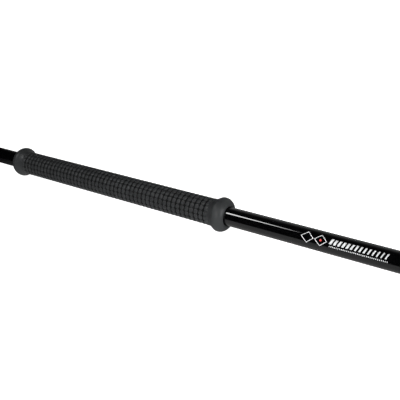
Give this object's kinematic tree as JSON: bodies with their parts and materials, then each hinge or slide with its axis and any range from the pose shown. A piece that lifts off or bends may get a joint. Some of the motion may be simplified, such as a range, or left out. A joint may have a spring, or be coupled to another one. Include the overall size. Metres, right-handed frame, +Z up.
{
  "type": "devil stick",
  "caption": "Straight round juggling stick with a long rubber grip that flares at both ends, and rubber caps on the tube's ends.",
  "frame": {"origin": "on the stick's axis, halfway along", "axes": "+X along the stick towards the near end, +Y away from the viewer, +Z up; the stick lies level"},
  "size_m": [0.76, 0.0346, 0.0346],
  "materials": {
    "tube": "gloss black lacquer",
    "grip": "matte moulded blocks",
    "cap": "matte",
    "plug": "turned nylon",
    "pin": "spring steel",
    "washer": "bright",
    "screw": "zinc plated",
    "weight": "turned",
    "foam": "closed-cell foam"
  },
  "bodies": {
    "root": {"shaft_tube": "tube", "grip_sleeve": "grip", "end_cap_near": "cap", "end_cap_far": "cap", "end_plug_near": "plug", "end_plug_far": "plug", "plug_pin_near": "pin", "plug_pin_far": "pin", "cap_washer_near": "washer", "cap_washer_far": "washer", "cap_screw_near": "screw", "cap_screw_far": "screw", "balance_weight_near": "weight", "balance_weight_far": "weight", "foam_bung_near": "foam", "foam_bung_far": "foam"}
  },
  "joints": []
}
